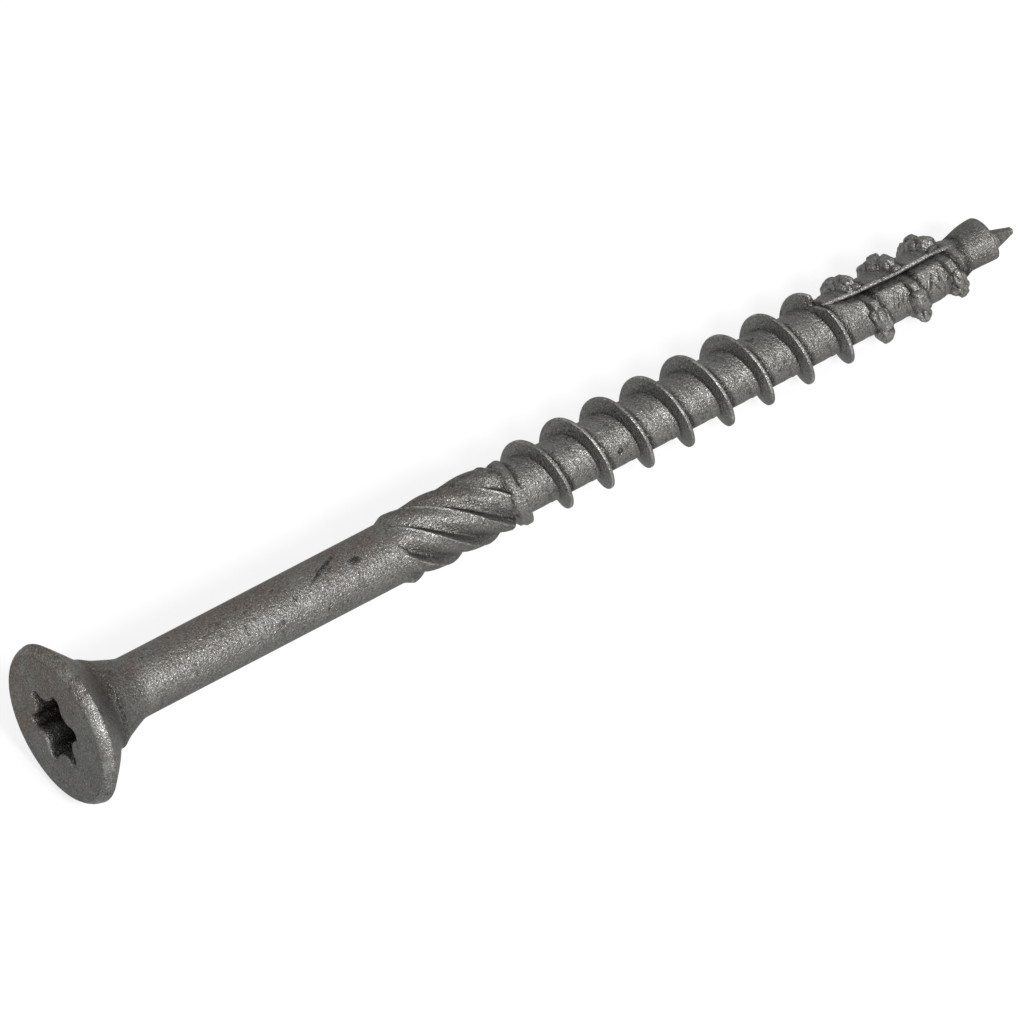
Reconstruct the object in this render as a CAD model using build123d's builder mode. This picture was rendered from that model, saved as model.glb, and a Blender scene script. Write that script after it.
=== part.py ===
"""Construction screw, 6 x 80 mm, in millimetres.

One piece of steel: a countersunk head with a six-lobe recess, a plain shank, six friction ribs,
a coarse right-hand thread whose last turns are serrated, a cutting notch and a small blunt point.
It is shaped upright, head face at zero and axis along Z towards the point, and then laid down
as it comes to rest: on the rim of its head and on the thread near its point.
"""

from build123d import *
from math import asin, atan2, cos, degrees, hypot, radians, sin, tan
import os

# Overall
length = 80.0
shank_radius = 2.23
core_radius = 1.98
thread_radius = 3.02

# Head: a flat face, a rounded rim, the countersink cone, a low collar and a slim neck cone
head_radius = 5.87
rim_rounding = 0.95
countersink_half_angle = 46.4
collar_radius = 3.62
collar_length = 0.68
collar_drop = 0.24
neck_radius = 3.16
neck_step = 0.15
neck_half_angle = 23.0

# Recess: six lobes, size 30, with a flared mouth and a shallow conical floor
lobe_count = 6
across_lobes = 5.6
across_flats = 3.95
lobe_tip_radius = 0.46
lobe_angle = 24.0
recess_depth = 3.0
floor_depth = 0.6
mouth_flare = 0.2

# Friction ribs: six ridges wound right-handed, each with a gentle back towards the head, a lip
# and a steep wall towards the point, low at both ends
rib_count = 6
rib_lead = 18.9
rib_lip_radius = 2.53
rib_back_radius = 2.42
rib_valley_radius = 2.0
rib_back_angle = 22.0
rib_valley_angle = 47.0
rib_angle = 21.0
rib_fade = 0.7

# Thread: a slim blade that climbs to full height over its first turns, as rise and radius
pitch = 3.365
blade_crest = 0.24
blade_root = 0.86
thread_start_angle = -90.0
thread_full_rise = 6.42
climb = [(0.02, 2.12), (1.02, 2.5), (3.42, 2.9)]

# Notched turns: a slightly closer pitch and lower crests, cut into teeth
notched_pitch = 3.25
notched_radius = 2.93
teeth_per_turn = 11
notch_depth = 0.4
notch_width = 0.9
first_notch_angle = 14.2

# Sunk turn: a thicker, lower blade that leaves the cutting notch where the notched turns end
sunk_radius = 2.52
sunk_crest = 0.4
sunk_root = 1.1

# Low smooth turn over the point
low_turn_start_angle = -130.0
low_turn_radius = 2.25
low_turn_crest = 0.5
low_turn_root = 1.3
low_turn_end_radius = 1.0

# Point: the core tapers, steps in behind the low turn and runs out in a slim cone
shoulder_radius = 1.45
cone_radius = 1.25
cone_middle_radius = 0.66
point_radius = 0.27

# Cutting notch milled along the last turns
notch_floor_radius = 1.53
notch_floor_angle = -41.4
steep_wall_angle = -7.0
slope_wall_angle = 45.0
notch_reach = 3.2
notch_run_lift = 0.62

# At rest, the rim and the thread near the point touch the ground
roll = 34.9

# Distances back from the point, which stay as they are when the plain shank gets longer or shorter
rib_start_back = 52.1
rib_end_back = 43.0
thread_start_back = 43.82
thread_end_back = 16.06
notched_from_back = 14.1
notched_end_back = 6.38
sunk_end_back = 5.1
low_turn_start_back = 4.3
low_turn_fade_start_back = 3.8
low_turn_end_back = 2.15
low_turn_fade_end_back = 2.0
taper_start_back = 7.0
shoulder_start_back = 4.6
cone_start_back = 4.25
cone_middle_back = 1.5
notch_run_start_back = 17.0
notch_full_back = 13.8
notch_end_back = 5.0
ground_touch_back = 8.25


def polar(radius, angle):
    return (radius * cos(radians(angle)), radius * sin(radians(angle)))


# Places along the axis, measured from the face
rib_start = length - rib_start_back
rib_end = length - rib_end_back
thread_start = length - thread_start_back
thread_end = length - thread_end_back
notched_from = length - notched_from_back
notched_end = length - notched_end_back
sunk_end = length - sunk_end_back
low_turn_start = length - low_turn_start_back
low_turn_fade_start = length - low_turn_fade_start_back
low_turn_end = length - low_turn_end_back
low_turn_fade_end = length - low_turn_fade_end_back
taper_start = length - taper_start_back
shoulder_start = length - shoulder_start_back
cone_start = length - cone_start_back
cone_middle = length - cone_middle_back
notch_run_start = length - notch_run_start_back
notch_full = length - notch_full_back
notch_end = length - notch_end_back
ground_touch = length - ground_touch_back
thread_full_at = thread_start + thread_full_rise

# Turned body: radius across, distance from the face upwards
face_radius = head_radius - rim_rounding
collar_start = rim_rounding + (head_radius - collar_radius) / tan(radians(countersink_half_angle))
collar_end = collar_start + collar_length
neck_start = collar_end + neck_step
neck_end = neck_start + (neck_radius - shank_radius) / tan(radians(neck_half_angle))

# The blades are carried inwards along their flanks, so that they stand deep in the core
flank_slope = (blade_root - blade_crest) / (thread_radius - core_radius)
blade_foot = 1.0
blade_foot_width = blade_crest + flank_slope * (thread_radius - blade_foot)
notched_foot_width = blade_crest + flank_slope * (notched_radius - blade_foot)

with BuildPart() as thread:
    with BuildLine() as thread_helix:
        Helix(
            pitch=pitch,
            height=thread_end - thread_start,
            radius=core_radius,
            center=(0, 0, thread_start),
        )
    with BuildSketch(Plane.XZ) as blade_section:
        with BuildLine():
            Polyline(
                (blade_foot, thread_start - blade_foot_width / 2),
                (thread_radius, thread_start - blade_crest / 2),
                (thread_radius, thread_start + blade_crest / 2),
                (blade_foot, thread_start + blade_foot_width / 2),
                close=True,
            )
        make_face()
    sweep(sections=blade_section.sketch, path=thread_helix.line, is_frenet=True)

with BuildPart() as notched_thread:
    with BuildLine() as notched_helix:
        Helix(
            pitch=notched_pitch,
            height=notched_end - thread_end,
            radius=core_radius,
            center=(0, 0, thread_end),
        )
    with BuildSketch(Plane.XZ) as notched_section:
        with BuildLine():
            Polyline(
                (blade_foot, thread_end - notched_foot_width / 2),
                (notched_radius, thread_end - blade_crest / 2),
                (notched_radius, thread_end + blade_crest / 2),
                (blade_foot, thread_end + notched_foot_width / 2),
                close=True,
            )
        make_face()
    sweep(sections=notched_section.sketch, path=notched_helix.line, is_frenet=True)

sunk_slope = (sunk_root - sunk_crest) / (sunk_radius - core_radius)
sunk_foot_width = sunk_crest + sunk_slope * (sunk_radius - blade_foot)
sunk_start_angle = 360 * (notched_end - thread_end) / notched_pitch

with BuildPart() as sunk_turn:
    with BuildLine() as sunk_helix:
        Helix(
            pitch=notched_pitch,
            height=sunk_end - notched_end,
            radius=core_radius,
            center=(0, 0, notched_end),
        )
    with BuildSketch(Plane.XZ) as sunk_section:
        with BuildLine():
            Polyline(
                (blade_foot, notched_end - sunk_foot_width / 2),
                (sunk_radius, notched_end - sunk_crest / 2),
                (sunk_radius, notched_end + sunk_crest / 2),
                (blade_foot, notched_end + sunk_foot_width / 2),
                close=True,
            )
        make_face()
    sweep(sections=sunk_section.sketch, path=sunk_helix.line, is_frenet=True)

# The low turn has a still thicker section and sinks into the cone of the point
low_turn_foot = 0.7
low_flank_slope = (low_turn_root - low_turn_crest) / (low_turn_radius - low_turn_foot)

with BuildPart() as low_turn:
    with BuildLine() as low_helix:
        Helix(
            pitch=notched_pitch,
            height=low_turn_end - low_turn_start,
            radius=core_radius,
            center=(0, 0, low_turn_start),
        )
    with BuildSketch(Plane.XZ) as low_section:
        with BuildLine():
            Polyline(
                (low_turn_foot, low_turn_start - low_turn_root / 2),
                (low_turn_radius, low_turn_start - low_turn_crest / 2),
                (low_turn_radius, low_turn_start + low_turn_crest / 2),
                (low_turn_foot, low_turn_start + low_turn_root / 2),
                close=True,
            )
        make_face()
    sweep(sections=low_section.sketch, path=low_helix.line, is_frenet=True)

with BuildPart() as low_turn_faded:
    add(low_turn.part, rotation=(0, 0, low_turn_start_angle))
    with BuildSketch(Plane.XZ):
        with BuildLine():
            Polyline(
                (0, low_turn_start - 3),
                (low_turn_radius + 0.1, low_turn_start - 3),
                (low_turn_radius + 0.1, low_turn_fade_start),
                (low_turn_end_radius, low_turn_fade_end),
                (low_turn_end_radius, length),
                (0, length),
                close=True,
            )
        make_face()
    revolve(axis=Axis.Z, mode=Mode.INTERSECT)

# Ribs: saw-toothed sections, turned along the axis and faded at both ends
section_count = 15
rib_low_radius = shank_radius - 0.03

with BuildPart() as ribs:
    for number in range(section_count):
        height = rib_start + (rib_end - rib_start) * number / (section_count - 1)
        fade = min(1, (height - rib_start) / rib_fade, (rib_end - height) / rib_fade)
        lip_radius = rib_low_radius + (rib_lip_radius - rib_low_radius) * fade
        back_radius = rib_low_radius + (rib_back_radius - rib_low_radius) * fade
        corners = []
        for rib in range(rib_count):
            lip_angle = rib_angle + 360 * (height - rib_start) / rib_lead + 360 * rib / rib_count
            corners.append(polar(lip_radius, lip_angle))
            corners.append(polar(back_radius, lip_angle + rib_back_angle))
            corners.append(polar(rib_valley_radius, lip_angle + rib_valley_angle))
        with BuildSketch(Plane.XY.offset(height)):
            Polygon(*corners, align=None)
    loft(ruled=True)

with BuildPart() as upright:
    with BuildSketch(Plane.XZ):
        with BuildLine():
            Line((0, 0), (face_radius, 0))
            CenterArc((face_radius, rim_rounding), rim_rounding, 270, 90)
            Polyline(
                (head_radius, rim_rounding),
                (collar_radius, collar_start),
                (collar_radius - collar_drop, collar_end),
                (neck_radius, neck_start),
                (shank_radius, neck_end),
                (shank_radius, rib_start),
                (core_radius, rib_start),
                (core_radius, taper_start),
                (shoulder_radius, shoulder_start),
                (cone_radius, cone_start),
                (cone_middle_radius, cone_middle),
                (point_radius, length - point_radius),
                (0.7 * point_radius, length - 0.3 * point_radius),
                (0, length),
                (0, 0),
            )
        make_face()
    revolve(axis=Axis.Z)
    add(thread.part, rotation=(0, 0, thread_start_angle))
    add(notched_thread.part)
    add(sunk_turn.part, rotation=(0, 0, sunk_start_angle))

    # The thread rises from the end of the ribs over its first turns
    with BuildSketch(Plane.XZ):
        with BuildLine():
            Polyline(
                (0, -1),
                (head_radius + 1, -1),
                (head_radius + 1, thread_start - 0.5),
                *[(radius, thread_start + rise) for rise, radius in climb],
                (thread_radius + 0.1, thread_full_at),
                (thread_radius + 0.1, length + 1),
                (0, length + 1),
                close=True,
            )
        make_face()
    revolve(axis=Axis.Z, mode=Mode.INTERSECT)
    add(low_turn_faded.part)
    add(ribs.part)

    # Teeth: axial V notches across the crests of the last turns
    notch_bottom = notched_radius - notch_depth
    notch_top = thread_radius + 0.3
    notch_half = notch_width / 2 * (notch_top - notch_bottom) / notch_depth
    with BuildSketch(Plane.XY.offset(notched_from)):
        with PolarLocations(0, teeth_per_turn, start_angle=first_notch_angle):
            Polygon(
                (notch_bottom, 0),
                (notch_top, -notch_half),
                (notch_top, notch_half),
                align=None,
            )
    extrude(amount=shoulder_start - notched_from, mode=Mode.SUBTRACT)

    # Cutting notch: one steep wall and one sloping wall, rising out of the core at its start
    floor_point = polar(notch_floor_radius, notch_floor_angle)
    lifted_point = polar(notch_floor_radius + notch_run_lift, notch_floor_angle)
    steep_reach = polar(notch_reach, steep_wall_angle)
    slope_reach = polar(notch_reach, slope_wall_angle)
    with BuildSketch(Plane.XY.offset(notch_run_start)):
        Polygon(
            lifted_point,
            (lifted_point[0] + steep_reach[0], lifted_point[1] + steep_reach[1]),
            (lifted_point[0] + slope_reach[0], lifted_point[1] + slope_reach[1]),
            align=None,
        )
    with BuildSketch(Plane.XY.offset(notch_full)):
        Polygon(
            floor_point,
            (floor_point[0] + steep_reach[0], floor_point[1] + steep_reach[1]),
            (floor_point[0] + slope_reach[0], floor_point[1] + slope_reach[1]),
            align=None,
        )
    loft(mode=Mode.SUBTRACT)
    with BuildSketch(Plane.XY.offset(notch_full)):
        Polygon(
            floor_point,
            (floor_point[0] + steep_reach[0], floor_point[1] + steep_reach[1]),
            (floor_point[0] + slope_reach[0], floor_point[1] + slope_reach[1]),
            align=None,
        )
    extrude(amount=notch_end - notch_full, mode=Mode.SUBTRACT)

    # Recess: round lobe tips joined by hollow arcs that touch them
    tip_centre = across_lobes / 2 - lobe_tip_radius
    flat = across_flats / 2
    half_lobe = 180 / lobe_count
    reach = tip_centre * cos(radians(half_lobe))
    hollow_radius = (lobe_tip_radius**2 - tip_centre**2 - flat**2 + 2 * reach * flat) / (
        2 * (flat - reach - lobe_tip_radius)
    )
    hollow_centre = flat + hollow_radius
    share = hollow_radius / (hollow_radius + lobe_tip_radius)
    touch_x = hollow_centre + share * (reach - hollow_centre)
    touch_y = share * tip_centre * sin(radians(half_lobe))
    touch_radius = hypot(touch_x, touch_y)
    touch_angle = half_lobe - degrees(atan2(touch_y, touch_x))
    with BuildSketch(Plane.XY) as recess_section:
        with BuildLine():
            for lobe in range(lobe_count):
                middle = lobe_angle + 360 * lobe / lobe_count
                ThreePointArc(
                    polar(touch_radius, middle - touch_angle),
                    polar(across_lobes / 2, middle),
                    polar(touch_radius, middle + touch_angle),
                )
                ThreePointArc(
                    polar(touch_radius, middle + touch_angle),
                    polar(flat, middle + half_lobe),
                    polar(touch_radius, middle + 2 * half_lobe - touch_angle),
                )
        make_face()
    extrude(amount=recess_depth, mode=Mode.SUBTRACT)
    with Locations((0, 0, recess_depth)):
        Cone(flat - 0.1, 0.3, floor_depth, align=(Align.CENTER, Align.CENTER, Align.MIN), mode=Mode.SUBTRACT)
    face = upright.faces().sort_by(Axis.Z)[0]
    chamfer(face.inner_wires()[0].edges(), mouth_flare)

# Laid down at rest, the axis dips towards the point
dip = degrees(asin((head_radius - notched_radius) / (ground_touch - rim_rounding)))
rest_plane = Plane(
    origin=(0, 0, 0),
    x_dir=(cos(radians(roll)) * sin(radians(dip)), -sin(radians(roll)), cos(radians(roll)) * cos(radians(dip))),
    z_dir=(cos(radians(dip)), 0, -sin(radians(dip))),
)

with BuildPart(rest_plane) as screw:
    add(upright.part)

screw.part.label = "screw"
os.makedirs("parts", exist_ok=True)
export_step(screw.part, "parts/screw.step")
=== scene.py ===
"""Looks of the construction screw: its dressed body, its dull zinc finish, the ground and the camera."""

import math

import bmesh
import bpy
import numpy as np
from mathutils import Matrix, Vector, noise


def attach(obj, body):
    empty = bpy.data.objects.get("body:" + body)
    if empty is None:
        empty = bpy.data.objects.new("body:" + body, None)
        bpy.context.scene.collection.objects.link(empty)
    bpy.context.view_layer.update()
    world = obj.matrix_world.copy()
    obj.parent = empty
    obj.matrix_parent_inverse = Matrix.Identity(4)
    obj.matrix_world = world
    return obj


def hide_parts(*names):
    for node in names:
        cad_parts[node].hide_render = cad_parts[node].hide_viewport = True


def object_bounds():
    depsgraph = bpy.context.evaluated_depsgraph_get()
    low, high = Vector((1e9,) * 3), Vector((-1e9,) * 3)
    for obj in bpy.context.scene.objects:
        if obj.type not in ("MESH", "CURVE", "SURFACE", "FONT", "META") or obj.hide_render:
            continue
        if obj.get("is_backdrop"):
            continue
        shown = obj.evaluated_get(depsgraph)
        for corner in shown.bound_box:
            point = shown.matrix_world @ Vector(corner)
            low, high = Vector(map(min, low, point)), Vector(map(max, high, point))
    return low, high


bl_info = {
    "name": "Construction screw",
    "version": (1, 0, 0),
    "blender": (4, 5, 0),
    "location": "View3D > Sidebar > Screw",
    "description": "Builds the dressed construction screw on its CAD frame",
    "category": "Object",
}

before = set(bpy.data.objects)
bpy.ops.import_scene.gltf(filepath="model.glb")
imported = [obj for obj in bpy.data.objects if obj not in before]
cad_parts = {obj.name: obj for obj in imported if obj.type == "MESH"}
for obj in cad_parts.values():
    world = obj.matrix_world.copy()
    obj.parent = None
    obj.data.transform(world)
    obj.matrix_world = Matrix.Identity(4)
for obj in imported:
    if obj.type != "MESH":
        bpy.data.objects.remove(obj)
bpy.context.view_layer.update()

# The screw lies at rest on its rim and its thread, whose places and radii are in millimetres. Its axis
# dips towards the point, and it is rolled about its axis
RIM_PLACE = 0.95
RIM_RADIUS = 5.87
TOUCH_PLACE = 71.75
TOUCH_RADIUS = 2.93
DIP = math.asin((RIM_RADIUS - TOUCH_RADIUS) / (TOUCH_PLACE - RIM_PLACE))
ROLL = math.radians(34.9)
AXIS = np.array((math.cos(DIP), 0.0, -math.sin(DIP)))
UPWARD = np.array((math.cos(ROLL) * math.sin(DIP), -math.sin(ROLL), math.cos(ROLL) * math.cos(DIP)))
SIDEWAYS = np.cross(AXIS, UPWARD)


# Sizes and colours


class ScrewBody(bpy.types.PropertyGroup):
    """Sizes of the dressed screw."""

    head_radius: bpy.props.FloatProperty(
        name="Head radius", description="Radius of the rim", default=5.92e-3, unit="LENGTH", precision=5
    )
    shank_radius: bpy.props.FloatProperty(
        name="Shank radius",
        description="Radius of the plain shank",
        default=2.23e-3,
        unit="LENGTH",
        precision=5,
    )
    core_radius: bpy.props.FloatProperty(
        name="Core radius",
        description="Radius between the turns",
        default=1.98e-3,
        unit="LENGTH",
        precision=5,
    )
    thread_radius: bpy.props.FloatProperty(
        name="Thread radius",
        description="Radius over the full turns",
        default=3.02e-3,
        unit="LENGTH",
        precision=5,
    )
    notched_radius: bpy.props.FloatProperty(
        name="Notched radius",
        description="Radius over the notched turns",
        default=2.9e-3,
        unit="LENGTH",
        precision=5,
    )
    lip_radius: bpy.props.FloatProperty(
        name="Rib lip radius",
        description="Radius over the lips of the ribs",
        default=2.53e-3,
        unit="LENGTH",
        precision=5,
    )
    notch_floor: bpy.props.FloatProperty(
        name="Notch floor",
        description="Radius at the floor of the cutting notch",
        default=1.6e-3,
        unit="LENGTH",
        precision=5,
    )


class ScrewFinish(bpy.types.PropertyGroup):
    """Colours and gloss of the finish."""

    coating: bpy.props.FloatVectorProperty(
        name="Coating",
        description="Dull grey of the coating",
        subtype="COLOR",
        size=3,
        default=(0.15, 0.148, 0.139),
    )
    # The warm clouds are partly brownish stain and partly a painted warm reflection on the upper side
    warm: bpy.props.FloatVectorProperty(
        name="Warm",
        description="Brownish clouds on the coating",
        subtype="COLOR",
        size=3,
        default=(0.135, 0.117, 0.105),
    )
    dark: bpy.props.FloatVectorProperty(
        name="Dark",
        description="Stained, shaded coating",
        subtype="COLOR",
        size=3,
        default=(0.034, 0.032, 0.029),
    )
    # The bright colour also paints the highlights on crests, lips, rim and teeth, as well as the paler thread
    bright: bpy.props.FloatVectorProperty(
        name="Bright",
        description="Rubbed crests and grains",
        subtype="COLOR",
        size=3,
        default=(0.42, 0.415, 0.4),
    )
    roughness: bpy.props.FloatProperty(
        name="Roughness", description="Gloss of the coating", default=0.405, min=0.0, max=1.0
    )
    grain: bpy.props.FloatProperty(
        name="Grain",
        description="Size of a grain of the coating",
        default=0.000125,
        unit="LENGTH",
        precision=5,
    )


class Studio(bpy.types.PropertyGroup):
    """Light and ground."""

    key: bpy.props.FloatProperty(
        name="Key light", description="Power of the soft light in watts", default=5.7, min=0.0
    )
    fill: bpy.props.FloatProperty(
        name="Fill light", description="Strength of the surroundings", default=0.8, min=0.0
    )
    ground: bpy.props.FloatVectorProperty(
        name="Ground", description="Colour of the ground", subtype="COLOR", size=3, default=(0.93, 0.93, 0.93)
    )


# Shape of the screw, in millimetres along its axis from the face and across it


def ease(x, low, high):
    x = np.clip((x - low) / (high - low), 0.0, 1.0)
    return x * x * (3.0 - 2.0 * x)


THREAD_START = 37.03
PITCH = 3.365
NOTCHED_PITCH = 3.25
FULL_TURNS = 8.0
NOTCHED_TURNS = 2.75

# Where the crest goes after the notched turns, as turns and places past their end
LAST_TURNS = [0.0, 0.25, 0.5, 0.75, 1.0, 1.25, 1.5, 2.0, 3.0, 4.5]
LAST_PLACES = [0.0, 0.8, 1.65, 3.1, 4.7, 4.88, 5.02, 5.4, 6.25, 7.05]


def crest_place(turn):
    """Where the crest is after a number of turns: turn 0 faces the camera at the start of the thread."""
    turn = np.asarray(turn, dtype=float)
    full = PITCH * np.minimum(turn, FULL_TURNS)
    notched = NOTCHED_PITCH * np.clip(turn - FULL_TURNS, 0.0, NOTCHED_TURNS)
    last = np.interp(turn - (FULL_TURNS + NOTCHED_TURNS), LAST_TURNS, LAST_PLACES)
    return THREAD_START + full + notched + last


# Taper of the core into the point, as places along the axis and radii, and its round nose
TAPER_PLACES = [73.0, 73.67, 75.4, 75.75, 77.0, 78.5, 79.2, 79.8]
TAPER_RADII = [1.84, 1.45, 1.25, 0.98, 0.68, 0.48, 0.3]
NOSE_START = 79.8
NOSE_LENGTH = 0.3
NOSE_RADIUS = 0.3
TIP_PLACE = 80.12


def core_at(z, core):
    """Radius of the core between the turns, and of the point."""
    tapered = np.interp(z, TAPER_PLACES, [core] + TAPER_RADII)
    nose = np.clip((z - NOSE_START) / NOSE_LENGTH, 0.0, 1.0)
    return np.where(z > NOSE_START, NOSE_RADIUS * np.sqrt(np.maximum(1.0 - nose**2, 0.0)), tapered)


# Radius over the blade: it climbs to the full turns, runs on over the notched ones and sinks away
CREST_TURNS = [
    -0.45, -0.2, 0.0, 0.25, 0.5, 0.76, 1.25, 1.77, 8.25, 8.6, 10.75, 11.0, 11.25, 11.5, 11.75, 12.0, 12.25,
    12.4,
]


CLIMBING_RADII = [1.98, 2.2, 2.5, 2.62, 2.75, 2.9, 2.92]
SINKING_RADII = [2.72, 2.5, 2.22, 2.02, 1.7, 1.25, 0.0]


def crest_radius(turn, full, notched):
    """Radius over the blade after a number of turns."""
    radii = CLIMBING_RADII + [full, full - 0.02, notched, notched] + SINKING_RADII
    return np.interp(turn, CREST_TURNS, radii)


CREST_HALF_TURNS = [-0.3, 0.1, 0.6, 1.2, 8.3, 8.7, 11.0, 11.5, 12.3]
CREST_HALF_WIDTHS = [0.5, 0.42, 0.15, 0.11, 0.11, 0.13, 0.15, 0.24, 0.24]


def crest_half(turn):
    """Half width of the blade's crest."""
    return np.interp(turn, CREST_HALF_TURNS, CREST_HALF_WIDTHS)


ROOT_HALF_TURNS = [-0.3, 0.1, 0.6, 1.2, 11.1, 11.65, 12.3]
ROOT_HALF_WIDTHS = [0.62, 0.58, 0.44, 0.4, 0.42]
LAST_ROOTS_PAST = [0.6, 0.55]
LAST_ROOTS_BEFORE = [2.3, 2.2]


def root_half(turn, before=False):
    """Half width of the blade's root, past the crest or before it, where the last turn rises gently."""
    last = LAST_ROOTS_BEFORE if before else LAST_ROOTS_PAST
    return np.interp(turn, ROOT_HALF_TURNS, ROOT_HALF_WIDTHS + last)


# Rows over half a turn: 0 crest, 1 crest corner, 2 root, 3 end of the root's fillet, 4 midway on
HALF_ROWS = [0.0, 0.7, 1.0, 1.08, 1.4, 1.75, 2.0, 2.35, 2.75, 3.28, 3.38, 3.7]
ROWS = HALF_ROWS + [4.0] + [-q for q in reversed(HALF_ROWS[1:])]
ROWS_PER_TURN = len(ROWS)


def blade(q):
    """Height over the core as a share of the crest's, at row coordinate q."""
    step = np.interp(q, [-3.38, -3.28, -2.9], [0.0, 0.03, 0.02])
    q = np.abs(q)
    top = 1.0 - 0.02 * np.clip(q, 0, 1) ** 3
    flank = 0.98 - 0.93 * (q - 1.0)
    fillet = 0.05 * np.clip((2.6 - q) / 0.6, 0, 1) ** 1.6
    return np.where(q <= 1.0, top, np.where(q <= 2.0, flank, fillet + step))


RIB_COUNT = 6
RIB_SPACING = 360.0 / RIB_COUNT
RIB_LEAD = 18.9
RIB_FIRST = 27.9
RIB_LAST = 37.0
RIB_ANGLE = 21.0

# Columns of one rib, in degrees past its lip
RIB_STEPS = np.array(
    [
        0, 2, 4.2, 6.6, 9.2, 12, 15, 18, 21, 24, 26.5, 29, 31.5, 34, 36.5, 39, 41.2, 43.2, 45, 46.6, 48,
        49.4, 50.8, 52.2, 53.6, 55, 56.6, 58.3,
    ]
)
COLUMNS = RIB_COUNT * len(RIB_STEPS)


def rib_section(past_lip, lip):
    """Radius of the ribs some degrees past a lip: gentle back, valley, steep wall, raised lip."""
    back = [(0, lip + 0.02), (2, lip - 0.015), (5, lip - 0.03), (12, lip - 0.05), (18, lip - 0.08)]
    valley = [(24, 2.39), (30, 2.26), (36, 2.13), (41, 2.04), (44.5, 2.0), (47.5, 2.01)]
    wall = [(50, 2.08), (52.5, 2.21), (55, 2.36), (57, lip - 0.06), (58.6, lip + 0.015), (60, lip + 0.02)]
    angles, radii = zip(*(back + valley + wall))
    return np.interp(past_lip, angles, radii)


# Path of the cutting notch's lip, as places along the axis and angles, and its two walls
LIP_PLACES = [63.2, 64.3, 66.5, 70.0, 74.3, 75.2]
LIP_ANGLES = [-52.0, -45.0, -36.5, -31.5, -35.5, -38.0]
LIP_MIDDLE_ANGLE = -36.1
NOTCH_ANGLE = math.radians(-41.4)
STEEP_WALL = math.radians(-19.0)
SLOPE_WALL = math.radians(38.0)

# Columns that the notch draws in, as degrees from its middle: the whole range, its walls and its foot
NOTCH_FIRST = -64.0
NOTCH_LAST = 24.0
STEEP_FIRST = -44.0
NOTCH_FOOT = -37.5
SLOPE_LAST = -8.0


def wall_reach(foot, direction, radius):
    """How far along a direction from the notch's foot a radius is met."""
    along = foot * math.cos(NOTCH_ANGLE - direction)
    return -along + np.sqrt(np.maximum(along**2 - foot**2 + radius**2, 0.0))


def wall_point(foot, direction, distance):
    """A point of a wall of the notch, across the axis."""
    x = foot * math.cos(NOTCH_ANGLE) + distance * math.cos(direction)
    y = foot * math.sin(NOTCH_ANGLE) + distance * math.sin(direction)
    return x, y


def cut_notch(angle, radius, z, floor):
    """The columns near the cutting notch follow its walls: their turning, radius and rows."""
    run_in = 0.62 * (1.0 - np.clip((z - 63.0) / 3.2, 0, 1))
    run_out = 1.5 * ease(z, 74.75, 75.05)
    foot = floor + run_in + run_out
    bent = np.interp(z, LIP_PLACES, LIP_ANGLES) - LIP_MIDDLE_ANGLE
    flat = (angle - bent + 180.0) % 360.0 - 180.0
    near = (flat > NOTCH_FIRST) & (flat < NOTCH_LAST) & (z > 62.3) & (z < 75.4)

    # Where each wall meets the surface
    open_radius = np.maximum(radius, foot + 0.12)
    steep = wall_reach(foot, STEEP_WALL, open_radius)
    slope = wall_reach(foot, SLOPE_WALL, open_radius)
    x, y = wall_point(foot, STEEP_WALL, steep)
    steep_end = np.degrees(np.arctan2(y, x))
    x, y = wall_point(foot, SLOPE_WALL, slope)
    slope_end = np.degrees(np.arctan2(y, x))

    # Columns beside the walls are drawn towards them, and those between lie on them
    before = np.clip((flat - NOTCH_FIRST) / 18.0, 0, 1)
    past = np.clip((flat - SLOPE_LAST) / (NOTCH_LAST - SLOPE_LAST), 0, 1)
    down = np.clip((flat - STEEP_FIRST) / (NOTCH_FOOT - STEEP_FIRST), 0, 1)
    along = np.clip((flat - NOTCH_FOOT) / (SLOPE_LAST - NOTCH_FOOT), 0, 1)
    on_steep = wall_point(foot, STEEP_WALL, np.maximum(steep - 0.08, 0.04) * (1 - down))
    on_slope = wall_point(foot, SLOPE_WALL, slope * along)
    x = np.where(flat < NOTCH_FOOT, on_steep[0], on_slope[0])
    y = np.where(flat < NOTCH_FOOT, on_steep[1], on_slope[1])
    on_wall = (flat >= STEEP_FIRST) & (flat <= SLOPE_LAST)
    new_angle = np.degrees(np.arctan2(y, x))
    new_angle = np.where(flat < STEEP_FIRST, NOTCH_FIRST + (steep_end + 61.0) * before, new_angle)
    new_angle = np.where(flat > SLOPE_LAST, slope_end + (NOTCH_LAST - slope_end) * past, new_angle)
    new_radius = np.where(on_wall, np.minimum(np.hypot(x, y), radius), radius)
    share = ease(radius - foot, 0.0, 0.12) * near
    return (new_angle - flat) * share, radius + (new_radius - radius) * share, near


# Clefts between the teeth and the walls of the cutting notch, in degrees of turn
TOOTH_EDGES = [
    3075, 3116, 3157, 3196, 3252, 3300, 3348, 3380, 3412, 3436, 3468, 3498, 3530, 3560, 3614, 3662, 3710,
    3742, 3770, 3798, 3826, 3857, 3889, 3919, 3974, 4022, 4064, 4092,
]


CLEFT_DEPTH = 0.42

# Turns that the helical skin covers, counted from the start of the thread
SKIN_FIRST = -5
SKIN_TURNS = 20
FILLET = 0.34

# A low ring closes the ribs before the thread
RING_PLACE = 37.2
RING_RISE = 0.51


def row_offset(turn, q, half_gap, before=False):
    """Distance of each row from its crest."""
    crest = crest_half(turn)
    root = root_half(turn, before)
    shrink = np.minimum(1.0, half_gap / (root + 0.6))
    fillet_end = (root + FILLET) * shrink
    a = np.abs(q)
    away = np.where(a <= 1, a * crest, crest + (a - 1) * (root - crest))
    away = np.where(a > 2, root + (a - 2) * FILLET, away) * shrink
    return np.where(a > 3, fillet_end + (a - 3) * (half_gap - fillet_end), away)


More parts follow.
